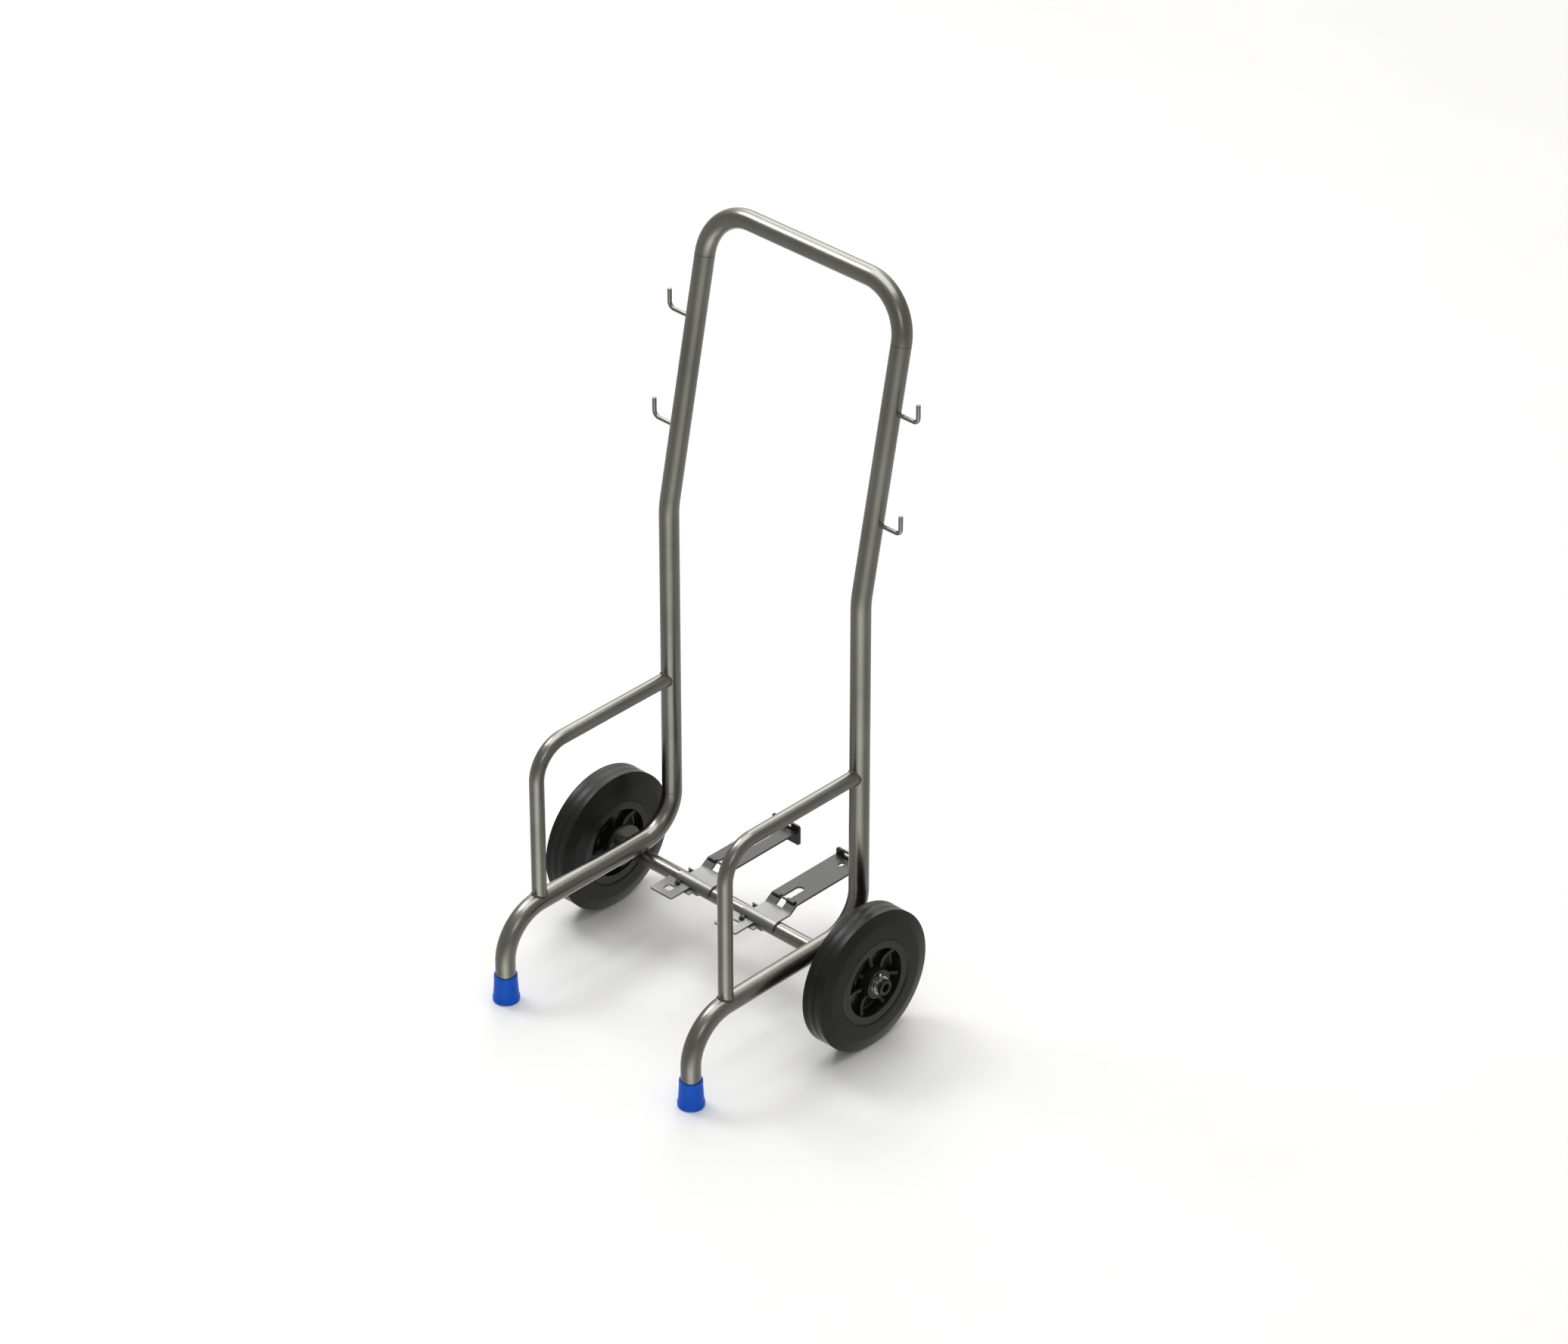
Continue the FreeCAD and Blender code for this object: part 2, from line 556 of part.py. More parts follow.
# ---- place and write ----
os.makedirs("parts", exist_ok=True)
for name, shape in NODES.items():
    shape.translate(AXLE_AT)
    shape.exportStep("parts/" + name + ".step")
print("axle at", AXLE_AT, "nodes", len(NODES))
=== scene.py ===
import json
import math

import bmesh
import bpy
from mathutils import Matrix, Vector


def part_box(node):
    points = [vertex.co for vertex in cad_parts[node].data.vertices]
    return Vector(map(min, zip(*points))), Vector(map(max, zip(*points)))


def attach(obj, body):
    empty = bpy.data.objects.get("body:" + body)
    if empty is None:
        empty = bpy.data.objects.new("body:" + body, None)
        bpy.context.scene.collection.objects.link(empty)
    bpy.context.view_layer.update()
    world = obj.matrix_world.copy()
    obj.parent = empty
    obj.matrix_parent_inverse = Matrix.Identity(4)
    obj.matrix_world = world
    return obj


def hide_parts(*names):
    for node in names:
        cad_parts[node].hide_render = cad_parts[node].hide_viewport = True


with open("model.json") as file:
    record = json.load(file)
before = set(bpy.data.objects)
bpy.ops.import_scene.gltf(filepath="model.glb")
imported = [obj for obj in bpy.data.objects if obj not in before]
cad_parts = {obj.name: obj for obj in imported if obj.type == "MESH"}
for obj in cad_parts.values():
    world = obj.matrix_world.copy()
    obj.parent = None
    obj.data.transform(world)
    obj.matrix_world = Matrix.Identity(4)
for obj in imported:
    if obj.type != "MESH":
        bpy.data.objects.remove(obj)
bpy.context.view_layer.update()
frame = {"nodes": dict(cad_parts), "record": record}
record = frame["record"]
BODY_OF = {n: body for body, nodes in record["behaviour"]["bodies"].items() for n in nodes}
SLOT_OF = {part["node"]: part["material_slot"] for part in record["subparts"]}

# Everything is in metres: +X right along the axle, +Y back to the user, +Z up.
X_DIR, Y_DIR, Z_DIR = Vector((1, 0, 0)), Vector((0, 1, 0)), Vector((0, 0, 1))
MM = 0.001


def middle(node):
    """Centre of a CAD node's box."""
    low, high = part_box(node)
    return (low + high) / 2


# ---- sizes, as the frame has them ----
AXLE = middle("axle_tube")
AXLE_R = 21.3 * MM / 2
AXLE_WALL = 2.6 * MM
AXLE_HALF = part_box("axle_tube")[1].x
FOOT = {-1: middle("left_foot_ferrule"), 1: middle("right_foot_ferrule")}
HALF_W = FOOT[1].x
LEG_Y = FOOT[1].y
TUBE_R = 26.9 * MM / 2
TUBE_WALL = 1.5 * MM
RUN_Z = AXLE.z + AXLE_R + TUBE_R
UPRIGHT_Y = AXLE.y + 56.6 * MM
KINK_Z = 615.5 * MM
LEAN = math.radians(11.5)
UP_LEAN = Vector((0, math.sin(LEAN), math.cos(LEAN)))
HANDLE_L = 418.3 * MM
LEG_BEND_R, REAR_BEND_R, KINK_BEND_R, HANDLE_BEND_R = 65 * MM, 56 * MM, 120 * MM, 68 * MM
LEG_END_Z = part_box("main_frame_tube")[0].z
HOOP_R = 20 * MM / 2
HOOP_WALL = 2.5 * MM
HOOP_FOOT_Y = LEG_Y + 64.4 * MM
HOOP_Z = 356.4 * MM
HOOP_BEND_R = 48 * MM
HOOK_R = 6 * MM / 2
HOOK_REACH, HOOK_RISE, HOOK_BEND_R = 46 * MM, 27 * MM, 8 * MM
HOOKS_AT = {"lower": 110.5 * MM, "upper": 261 * MM}
RUNNING_GAP = 0.05 * MM
FLANGE_R = 30 * MM
WELD_R, HOOK_WELD_R, FLANGE_WELD_R, CROSSING_WELD_RISE = 1.5 * MM, 1.1 * MM, 1.3 * MM, 0.9 * MM
RIPPLE_DEPTH = 0.14    # share of a bead's radius
SHARP_DEG = 32         # a sharper edge than this isn't shaded round

SIDES = {-1: "left", 1: "right"}


# ---- mesh helpers ----

def make_object(name, verts, faces, sharp_deg=SHARP_DEG):
    """Mesh object with outward normals, smooth but for edges sharper than the angle."""
    mesh = bpy.data.meshes.new(name)
    mesh.from_pydata([tuple(v) for v in verts], [], faces)
    bm = bmesh.new()
    bm.from_mesh(mesh)
    bmesh.ops.recalc_face_normals(bm, faces=bm.faces)
    bm.to_mesh(mesh)
    bm.free()
    mesh.shade_smooth()
    mesh.set_sharp_from_angle(angle=math.radians(sharp_deg))
    obj = bpy.data.objects.new(name, mesh)
    bpy.context.scene.collection.objects.link(obj)
    return obj


def across(axis):
    """Two unit vectors at right angles to an axis and to each other."""
    axis = axis.normalized()
    u = axis.cross(Z_DIR if abs(axis.z) < 0.9 else X_DIR).normalized()
    return u, axis.cross(u)


def join_rings(rings, closed):
    """Faces between consecutive vertex rings; a ring of one index is a pole."""
    faces = []
    pairs = list(zip(rings, rings[1:])) + ([(rings[-1], rings[0])] if closed else [])
    for a, b in pairs:
        n = max(len(a), len(b))
        for i in range(n):
            j = (i + 1) % n
            if len(a) == 1:
                faces.append((a[0], b[i], b[j]))
            elif len(b) == 1:
                faces.append((a[i], b[0], a[j]))
            else:
                faces.append((a[i], b[i], b[j], a[j]))
    return faces


def circle(steps):
    """Angles once round."""
    return [2 * math.pi * i / steps for i in range(steps)]


def add_ring(verts, at, axis, radius_at, sides):
    """Adds a ring of vertices round an axis, with its radius at each angle, and returns the ring."""
    u, w = across(axis)
    ring = list(range(len(verts), len(verts) + sides))
    for t in circle(sides):
        verts.append(at + (u * math.cos(t) + w * math.sin(t)) * radius_at(t))
    return ring


def lathe(name, profile, centre, axis, closed=True, sides=96):
    """Solid of revolution from (along, radius) points about an axis through centre."""
    verts, rings = [], []
    for along, radius in profile:
        at = centre + axis * along
        if radius > 0:
            rings.append(add_ring(verts, at, axis, lambda t: radius, sides))
        else:
            rings.append([len(verts)])
            verts.append(at)
    return make_object(name, verts, join_rings(rings, closed))


def soften(points, radii, steps=4, closed=True):
    """Rounds the corners of an outline; radii has one radius for each point."""
    out = []
    n = len(points)
    for i, (p, r) in enumerate(zip(points, radii)):
        at = Vector(p)
        if r <= 0 or (not closed and i in (0, n - 1)):
            out.append(tuple(at))
            continue
        a = Vector(points[i - 1]) - at
        b = Vector(points[(i + 1) % n]) - at
        longest = 0.45 * min(a.length, b.length)
        reach = min(r / math.tan(a.angle(b) / 2), longest)
        start, end = at + a.normalized() * reach, at + b.normalized() * reach
        for k in range(steps + 1):
            t = k / steps
            out.append(tuple(start * (1 - t) ** 2 + at * (2 * t * (1 - t)) + end * t ** 2))
    return out


def bent_path(points, radii, step_deg=4):
    """Points along straight runs joined by tangent arcs."""
    path = [points[0]]
    for before, corner, after, r in zip(points, points[1:], points[2:], radii):
        a, b = (before - corner).normalized(), (after - corner).normalized()
        half = a.angle(b) / 2
        centre = corner + (a + b).normalized() * (r / math.sin(half))
        start = corner + a * (r / math.tan(half)) - centre
        turn = math.pi - 2 * half
        axis = start.cross(corner - centre).normalized()
        steps = max(3, round(math.degrees(turn) / step_deg))
        for k in range(steps + 1):
            path.append(centre + Matrix.Rotation(turn * k / steps, 3, axis) @ start)
    path.append(points[-1])
    return path


def skin(verts, path, radii, sides, closed=False):
    """Adds one ring of vertices round each path point, without twist, and returns the rings."""
    n = len(path)
    rings, normal = [], None
    for i, p in enumerate(path):
        ahead = path[(i + 1) % n] if closed or i < n - 1 else p
        behind = path[i - 1] if closed or i > 0 else p
        tangent = (ahead - behind).normalized()
        if normal is None:
            normal = across(tangent)[0]
        normal = (normal - tangent * normal.dot(tangent)).normalized()
        side = tangent.cross(normal)
        rings.append(list(range(len(verts), len(verts) + sides)))
        for t in circle(sides):
            verts.append(p + (normal * math.cos(t) + side * math.sin(t)) * radii[i])
    return rings


def tube(name, path, radius, wall, sides=56, start_cut=None, end_cut=None):
    """Hollow bent tube. A cut moves an end's vertices along the tube onto another tube's surface."""
    verts = []
    outer = skin(verts, path, [radius] * len(path), sides)
    inner = skin(verts, path, [radius - wall] * len(path), sides)
    for ring_pair, cut in (((outer[0], inner[0]), start_cut), ((outer[-1], inner[-1]), end_cut)):
        if cut:
            for i in ring_pair[0] + ring_pair[1]:
                verts[i] = cut(verts[i])
    return make_object(name, verts, join_rings(outer + inner[::-1], True))


def rod(name, path, radii, sides=32, start_cut=None):
    """Solid rod along a path with one radius for each point, closed by a fan at each end."""
    verts = []
    rings = skin(verts, path, radii, sides)
    if start_cut:
        for i in rings[0]:
            verts[i] = start_cut(verts[i])
    faces = join_rings(rings, False) + [tuple(rings[0]), tuple(rings[-1])]
    return make_object(name, verts, faces)


def bead(name, loop, radius, ripples):
    """Closed weld bead along a loop on the frame, with the ripples that a torch leaves."""
    n = len(loop)
    waves = [abs(math.sin(math.pi * ripples * i / n)) for i in range(n)]
    radii = [radius * (1 - RIPPLE_DEPTH + RIPPLE_DEPTH * wave) for wave in waves]
    verts = []
    rings = skin(verts, loop, radii, 12, closed=True)
    obj = make_object(name, verts, join_rings(rings, True), sharp_deg=70)
    dress(obj, "frame", "stainless_tube", "weld")


# ---- materials ----

WAVE_PERIOD = 0.314    # metres between the rings of a wave texture whose scale is 1
SPECK_SHADE = 0.82     # of the dark tone, in the grain's low spots


def tree_of(name):
    """New material with its node tree, its main shader and object coordinates."""
    mat = bpy.data.materials.new(name)
    mat.use_nodes = True
    nodes = mat.node_tree.nodes
    shader = nodes["Principled BSDF"]
    coords = nodes.new("ShaderNodeTexCoord").outputs["Object"]
    return mat, nodes, mat.node_tree.links, shader, coords


def noise(nodes, links, coords, scale, detail=4.0, stretch=(1, 1, 1), rough=0.55):
    """Noise in object space, finer along the axes with a larger stretch."""
    mapping = nodes.new("ShaderNodeMapping")
    mapping.inputs["Scale"].default_value = stretch
    links.new(coords, mapping.inputs["Vector"])
    tex = nodes.new("ShaderNodeTexNoise")
    tex.inputs["Scale"].default_value = scale
    tex.inputs["Detail"].default_value = detail
    tex.inputs["Roughness"].default_value = rough
    links.new(mapping.outputs["Vector"], tex.inputs["Vector"])
    return tex.outputs["Fac"]


def to_range(nodes, links, value, low, high, start=0.3, end=0.7):
    """Maps a value to a range."""
    node = nodes.new("ShaderNodeMapRange")
    node.inputs["From Min"].default_value = start
    node.inputs["From Max"].default_value = end
    node.inputs["To Min"].default_value = low
    node.inputs["To Max"].default_value = high
    links.new(value, node.inputs["Value"])
    return node.outputs["Result"]


def blend_colours(nodes, links, factor, first, second):
    """Mix of two colours or colour sockets by a factor."""
    node = nodes.new("ShaderNodeMix")
    node.data_type = "RGBA"
    links.new(factor, node.inputs["Factor"])
    for key, value in (("A", first), ("B", second)):
        socket = [s for s in node.inputs if s.name == key and s.type == "RGBA"][0]
        if isinstance(value, tuple):
            socket.default_value = (*value, 1)
        else:
            links.new(value, socket)
    return [s for s in node.outputs if s.type == "RGBA"][0]


def finish_material(name, dark, light, rough, metallic, blotch=14, grain=700, stretch=(1, 1, 1),
                    bump=0.15, depth=0.04 * MM, rings_at=None, ring_pitch=0.8 * MM, painted_shade=None, **sockets):
    """One finish: tone wanders between two colours, and fine grain moves gloss and relief; an optional
    painted shade darkens the colour behind the axle.
    """
    mat, nodes, links, shader, coords = tree_of(name)
    tone = noise(nodes, links, coords, blotch)
    fine = noise(nodes, links, coords, grain, 6, stretch, 0.6)
    colour = blend_colours(nodes, links, to_range(nodes, links, tone, 0, 1), dark, light)
    speck = tuple(c * SPECK_SHADE for c in dark)
    colour = blend_colours(nodes, links, to_range(nodes, links, fine, 0.35, 0, 0.3, 0.5), colour, speck)
    # painted shade: the colour goes darker behind the axle, in place of real lighting
    if painted_shade:
        colour = paint_shade_behind(nodes, links, coords, colour, painted_shade)
    links.new(colour, shader.inputs["Base Color"])
    links.new(to_range(nodes, links, fine, rough[0], rough[1]), shader.inputs["Roughness"])
    height = fine
    if rings_at is not None:
        height = turned_rings(nodes, links, coords, rings_at, ring_pitch, fine)
    relief = nodes.new("ShaderNodeBump")
    relief.inputs["Strength"].default_value = bump
    relief.inputs["Distance"].default_value = depth
    links.new(height, relief.inputs["Height"])
    links.new(relief.outputs["Normal"], shader.inputs["Normal"])
    shader.inputs["Metallic"].default_value = metallic
    for key, value in sockets.items():
        shader.inputs[key.replace("_", " ")].default_value = value
    return mat


def turned_rings(nodes, links, coords, centre, pitch, fine):
    """Concentric turning or moulding marks about the X axis through centre, over the grain."""
    mapping = nodes.new("ShaderNodeMapping")
    mapping.inputs["Location"].default_value = (-centre.x, -centre.y, -centre.z)
    links.new(coords, mapping.inputs["Vector"])
    wave = nodes.new("ShaderNodeTexWave")
    wave.wave_type = "RINGS"
    wave.rings_direction = "X"
    wave.inputs["Scale"].default_value = WAVE_PERIOD / pitch
    wave.inputs["Distortion"].default_value = 0.6
    wave.inputs["Detail"].default_value = 2
    links.new(mapping.outputs["Vector"], wave.inputs["Vector"])
    add = nodes.new("ShaderNodeMath")
    add.operation = "MULTIPLY_ADD"
    add.inputs[1].default_value = 0.5
    links.new(wave.outputs["Fac"], add.inputs[0])
    links.new(fine, add.inputs[2])
    return add.outputs["Value"]


def paint_shade_behind(nodes, links, coords, colour, painted_shade):
    """Painted shade: darker colour from one distance behind the axle to another, standing in for how the
    light falls there: (start, end, shaded colour).
    """
    start, end, shade_colour = painted_shade
    split = nodes.new("ShaderNodeSeparateXYZ")
    links.new(coords, split.inputs[0])
    share = to_range(nodes, links, split.outputs["Y"], 0, 1, AXLE.y + start, AXLE.y + end)
    return blend_colours(nodes, links, share, colour, shade_colour)


MATERIALS = {
    "stainless_tube": finish_material(
        "satin_stainless_tube", (0.235, 0.232, 0.208), (0.305, 0.302, 0.276), (0.23, 0.32), 1.0,
        blotch=9, grain=1400, bump=0.12, depth=0.02 * MM),
    "weld": finish_material(
        "heat_tinted_weld", (0.075, 0.07, 0.058), (0.2, 0.19, 0.165), (0.3, 0.5), 1.0,
        blotch=240, grain=1800, bump=0.3),
    "seam": finish_material(
        "bend_seam", (0.08, 0.078, 0.07), (0.12, 0.118, 0.105), (0.35, 0.5), 1.0, blotch=60),
    "dark_steel": finish_material(
        "turned_disc_steel", (0.12, 0.12, 0.106), (0.17, 0.17, 0.152), (0.26, 0.36), 1.0,
        blotch=40, grain=1200, rings_at=AXLE, bump=0.1, depth=0.03 * MM),
    "sheet_steel": finish_material(
        "laser_cut_sheet_painted_shade", (0.24, 0.24, 0.233), (0.285, 0.285, 0.277), (0.34, 0.44), 1.0,
        blotch=22, grain=420, stretch=(2.5, 0.6, 2.5), bump=0.05, depth=0.01 * MM,
        # painted shade: the sheet blends darker from 20 mm to 24 mm behind the axle and stays dark beyond
        painted_shade=(20 * MM, 24 * MM, (0.085, 0.085, 0.082))),
    "bright_steel": finish_material(
        "bright_spring_steel", (0.62, 0.62, 0.6), (0.74, 0.74, 0.72), (0.12, 0.22), 1.0,
        blotch=120, grain=1500, bump=0.06),
    "fastener_steel": finish_material(
        "dark_zinc", (0.07, 0.07, 0.066), (0.14, 0.14, 0.13), (0.22, 0.36), 1.0,
        blotch=300, grain=2200, bump=0.15),
    "black_plastic": finish_material(
        "moulded_black_nylon", (0.008, 0.008, 0.0076), (0.014, 0.014, 0.0133), (0.24, 0.34), 0.0,
        blotch=45, grain=2400, bump=0.12, depth=0.03 * MM, Specular_IOR_Level=0.5),
    "white_plastic": finish_material(
        "milky_nylon", (0.7, 0.7, 0.69), (0.82, 0.82, 0.81), (0.35, 0.48), 0.0,
        blotch=80, grain=1500, bump=0.08, Subsurface_Weight=0.35, Subsurface_Scale=0.004),
    "tyre_rubber": finish_material(
        "solid_tyre_rubber", (0.007, 0.007, 0.0068), (0.012, 0.0118, 0.0114), (0.3, 0.42), 0.0,
        blotch=26, grain=1500, rings_at=AXLE, ring_pitch=1.6 * MM, bump=0.12, depth=0.05 * MM,
        Specular_IOR_Level=0.32),
    "blue_rubber": finish_material(
        "blue_moulded_rubber", (0.001, 0.085, 0.56), (0.002, 0.115, 0.7), (0.3, 0.42), 0.0,
        blotch=60, grain=1600, bump=0.12, depth=0.04 * MM, Specular_IOR_Level=0.18),
}


# ---- how pieces join the frame ----

def dress(obj, body, slot, material=None):
    """A piece gets its finish, the named one or else the one for the record's slot, and its body."""
    obj.data.materials.clear()
    obj.data.materials.append(MATERIALS[material or slot])
    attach(obj, body)
    return obj


def stand_for(obj, node):
    """A piece takes a CAD node's place and body, and the finish of the node's slot."""
    dress(obj, BODY_OF[node], SLOT_OF[node])
    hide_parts(node)
    return obj


def refined(node, bevel):
    """Copy of a CAD node with its flat faces merged and its edges broken, in its place."""
    bm = bmesh.new()
    bm.from_mesh(frame["nodes"][node].data)
    bmesh.ops.remove_doubles(bm, verts=bm.verts, dist=0.002 * MM)
    bmesh.ops.dissolve_limit(bm, angle_limit=math.radians(0.5), verts=bm.verts, edges=bm.edges)
    sharp_angle = math.radians(SHARP_DEG)
    sharp = [e for e in bm.edges if len(e.link_faces) == 2 and e.calc_face_angle(0) > sharp_angle]
    bmesh.ops.bevel(bm, geom=sharp, offset=bevel, segments=2, profile=0.5, affect="EDGES",
                    clamp_overlap=True)
    bm.verts.index_update()
    verts = [v.co.copy() for v in bm.verts]
    faces = [tuple(v.index for v in f.verts) for f in bm.faces]
    bm.free()
    obj = make_object(node + "_fine", verts, faces)
    flatten_shading(obj)
    return stand_for(obj, node)


def apply_modifiers(obj):
    """Bakes an object's modifiers into its mesh."""
    depsgraph = bpy.context.evaluated_depsgraph_get()
    mesh = bpy.data.meshes.new_from_object(obj.evaluated_get(depsgraph))
    obj.modifiers.clear()
    obj.data = mesh


def flatten_shading(obj):
    """Large flat faces keep their own normal, so that only the narrow bevels shade round."""
    weigh = obj.modifiers.new("weigh", "WEIGHTED_NORMAL")
    weigh.mode = "FACE_AREA"
    weigh.weight = 100
    weigh.keep_sharp = True
    apply_modifiers(obj)


# ---- frame tubes ----

def lean_point(side, along):
    """Point on a handle side's centre line, a distance above the kink."""
    return Vector((side * HALF_W, UPRIGHT_Y, KINK_Z)) + UP_LEAN * along


def main_tube():
    """The one tube bent from foot to foot."""
    left = [Vector((-HALF_W, LEG_Y, LEG_END_Z)), Vector((-HALF_W, LEG_Y, RUN_Z)),
            Vector((-HALF_W, UPRIGHT_Y, RUN_Z)), lean_point(-1, 0), lean_point(-1, HANDLE_L)]
    right = [Vector((-p.x, p.y, p.z)) for p in reversed(left)]
    bends = [LEG_BEND_R, REAR_BEND_R, KINK_BEND_R, HANDLE_BEND_R]
    path = bent_path(left + right, bends + bends[::-1])
    stand_for(tube("main_frame_tube_fine", path, TUBE_R, TUBE_WALL), "main_frame_tube")


def depth_to(offset, radius=TUBE_R):
    """How far from its centre plane a tube's surface lies, at a sideways offset."""
    return math.sqrt(max(radius ** 2 - offset ** 2, 0))


def side_hoop(side):
    """Bent tube from the run up and back to the upright, with a weld bead at each end."""
    word = SIDES[side]
    x = side * HALF_W

    def onto_run(v):
        return Vector((v.x, v.y, RUN_Z + depth_to(v.x - x)))

    def onto_upright(v):
        return Vector((v.x, UPRIGHT_Y - depth_to(v.x - x), v.z))

    points = [Vector((x, HOOP_FOOT_Y, RUN_Z + TUBE_R)), Vector((x, HOOP_FOOT_Y, HOOP_Z)),
              Vector((x, UPRIGHT_Y - TUBE_R, HOOP_Z))]
    path = bent_path(points, [HOOP_BEND_R])
    hoop = tube(word + "_side_hoop_fine", path, HOOP_R, HOOP_WALL, 48, onto_run, onto_upright)
    stand_for(hoop, word + "_side_hoop")
    foot, top = [], []
    for t in circle(72):
        a, b = HOOP_R * math.cos(t), HOOP_R * math.sin(t)
        foot.append(Vector((x + a, HOOP_FOOT_Y + b, RUN_Z + depth_to(a))))
        top.append(Vector((x + a, UPRIGHT_Y - depth_to(a), HOOP_Z + b)))
    bead(word + "_hoop_foot_weld", foot, WELD_R, 22)
    bead(word + "_hoop_top_weld", top, WELD_R, 22)


def hook(side, level):
    """Bent rod out and up from the handle side, with its weld bead."""
    word = SIDES[side]
    root = lean_point(side, HOOKS_AT[level])
    out = root + X_DIR * (side * HOOK_REACH)
    sideways = X_DIR.cross(UP_LEAN)

    def surface(v):
        return Vector((root.x + side * depth_to((v - root).dot(sideways)), v.y, v.z))

    dome = HOOK_R * 0.5
    shoulder = out + Z_DIR * (HOOK_RISE - dome)
    path = bent_path([root + X_DIR * (side * TUBE_R), out, shoulder], [HOOK_BEND_R], 8)
    radii = [HOOK_R] * len(path)
    for rise, share in ((0.35, 0.97), (0.7, 0.85), (0.92, 0.66), (1.0, 0.45)):
        path.append(shoulder + Z_DIR * dome * rise)
        radii.append(HOOK_R * share)
    name = "%s_%s_hook" % (word, level)
    stand_for(rod(name + "_fine", path, radii, start_cut=surface), name)
    loop = []
    for t in circle(48):
        a, b = HOOK_R * math.cos(t), HOOK_R * math.sin(t)
        loop.append(surface(root + sideways * a + UP_LEAN * b))
    bead(name + "_weld", loop, HOOK_WELD_R, 9)


def crossing_weld(side):
    """Fillet of weld round the spot where a run lies on the axle tube."""
    x = side * HALF_W
    reach = 6.5 * MM
    loop, gaps = [], []
    for t in circle(64):
        a, b = reach * math.cos(t), reach * math.sin(t)
        low = AXLE.z + depth_to(b, AXLE_R)
        high = RUN_Z - depth_to(a)
        loop.append(Vector((x + a, AXLE.y + b, (low + high) / 2)))
        gaps.append((high - low) / 2)
    bead(SIDES[side] + "_crossing_weld", loop, max(gaps) + CROSSING_WELD_RISE, 16)


def seam(name, at, direction):
    """Thin dark line round a tube where a bend starts."""
    outer, inner = TUBE_R + 0.04 * MM, TUBE_R - 0.36 * MM
    half = 0.35 * MM
    profile = [(-half, inner), (-half, outer), (half, outer), (half, inner)]
    dress(lathe(name, profile, at, direction), "frame", "stainless_tube", "seam")


def seams(side):
    """Seams above the rear bend and at the handle corner."""
    word = SIDES[side]
    rear = Vector((side * HALF_W, UPRIGHT_Y, RUN_Z + REAR_BEND_R))
    seam(word + "_rear_bend_seam", rear, Z_DIR)
    seam(word + "_handle_seam", lean_point(side, HANDLE_L - HANDLE_BEND_R), UP_LEAN)


# ---- axle ----

def turned(node, profile, radii, centre, axis, closed=True, sides=96):
    """Lathed piece that stands for a CAD node; radii round the profile's corners."""
    outline = soften(profile, radii, closed=closed)
    stand_for(lathe(node + "_fine", outline, centre, axis, closed, sides), node)


def plain_ring(node, outer, inner, edge):
    """Ring about the axle as wide as its CAD node, with rounded edges, less so in the bore."""
    low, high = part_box(node)
    half = (high.x - low.x) / 2
    profile = [(-half, inner), (-half, outer), (half, outer), (half, inner)]
    centre = Vector(((low.x + high.x) / 2, AXLE.y, AXLE.z))
    bore_edge = 0.6 * edge
    turned(node, profile, [bore_edge, edge, edge, bore_edge], centre, X_DIR)


def end_plug(side):
    """Black plug with a chamfered head and a countersunk blind bore."""
    node = SIDES[side] + "_axle_end_plug"
    low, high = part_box(node)
    tip = high.x if side > 0 else -low.x
    head = tip - AXLE_HALF
    shank_r = AXLE_R - AXLE_WALL
    bore_r, bore_l = 6 * MM, 20 * MM
    shank_end = head - (high.x - low.x)
    profile = [(shank_end, 0), (shank_end, shank_r), (0, shank_r), (0, AXLE_R), (head, AXLE_R),
               (head, bore_r), (head - bore_l, bore_r), (head - bore_l, 0)]
    radii = [0, 0.4 * MM, 0, 0.3 * MM, 1.6 * MM, 0.7 * MM, 0.5 * MM, 0]
    tube_end = Vector((side * AXLE_HALF, AXLE.y, AXLE.z))
    turned(node, profile, radii, tube_end, X_DIR * side, closed=False)


def flange_weld(side):
    """Bead where a fixed flange meets the axle tube, on its inner side."""
    low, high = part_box(SIDES[side] + "_inner_flange")
    x = low.x if side > 0 else high.x
    r = AXLE_R + 0.3 * MM
    loop = [Vector((x, AXLE.y + r * math.cos(t), AXLE.z + r * math.sin(t))) for t in circle(96)]
    bead(SIDES[side] + "_flange_weld", loop, FLANGE_WELD_R, 30)


# ---- wheels ----

TREAD_R = (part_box("left_wheel_tyre")[1].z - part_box("left_wheel_tyre")[0].z) / 2
SHOULDER_R = 83 * MM
RIM_R = 60 * MM
RECESS_R = 48.5 * MM
TREAD_HALF, SHOULDER_HALF, SIDE_HALF = 15.5 * MM, 20 * MM, 21.5 * MM
RIM_HALF = 20.7 * MM
BOSS_R, BOSS_HALF = 20.5 * MM, 26 * MM
WEB_HALF = 3.5 * MM
SPOKES = 7
RIB_HALF_W, RIB_ROOT_HALF_W = 2.7 * MM, 3.8 * MM    # at the cap and at the web
RIB_CAP, RIB_DIP = 16.5 * MM, 6 * MM                # cap over the middle plane, and how far it dips
BUSH_SEAT_R = AXLE_R + RUNNING_GAP + 2.4 * MM


def both_faces(half):
    """Mirrors (x, radius, rounding) points given from the middle of one face outwards."""
    return [(-x, r, s) for x, r, s in reversed(half)] + half


